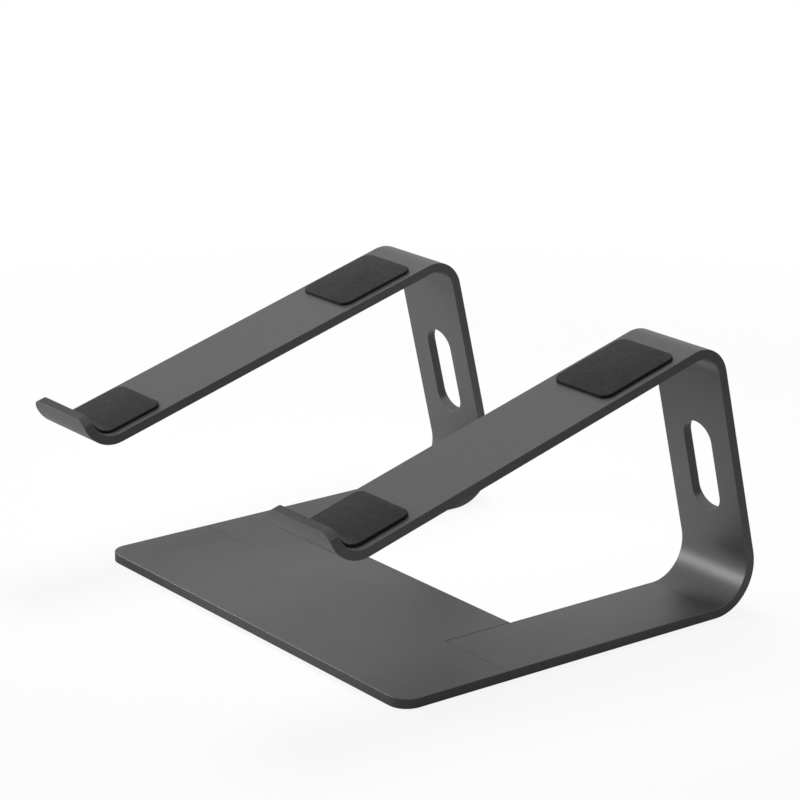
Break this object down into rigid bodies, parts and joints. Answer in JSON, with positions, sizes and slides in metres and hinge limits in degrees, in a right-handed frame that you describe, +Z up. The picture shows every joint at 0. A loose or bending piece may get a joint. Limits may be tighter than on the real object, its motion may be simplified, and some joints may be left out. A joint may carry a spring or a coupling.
{
  "type": "laptop stand",
  "caption": "Rigid desk stand of bent aluminium bar: C-shaped legs with cable slots and padded front hooks carry a laptop on a slope above a flat front base plate.",
  "frame": {"origin": "on the desk, below the centre of the stand's outer box", "axes": "+Z up, +Y to the back (the uprights), +X to the right as seen by someone sitting in front"},
  "size_m": [0.255, 0.2596, 0.1419],
  "materials": {
    "anodised_metal": "satin dark grey anodised",
    "black_rubber": "matt black rubber",
    "dark_steel": "blackened steel"
  },
  "bodies": {
    "root": {"base_plate": "anodised_metal", "left_leg": "anodised_metal", "right_leg": "anodised_metal", "left_hook_liner": "black_rubber", "right_hook_liner": "black_rubber", "left_arm_pad": "black_rubber", "right_arm_pad": "black_rubber", "left_front_foot": "black_rubber", "right_front_foot": "black_rubber", "left_rear_foot": "black_rubber", "right_rear_foot": "black_rubber", "left_lap_screws": "dark_steel", "right_lap_screws": "dark_steel"}
  },
  "joints": []
}
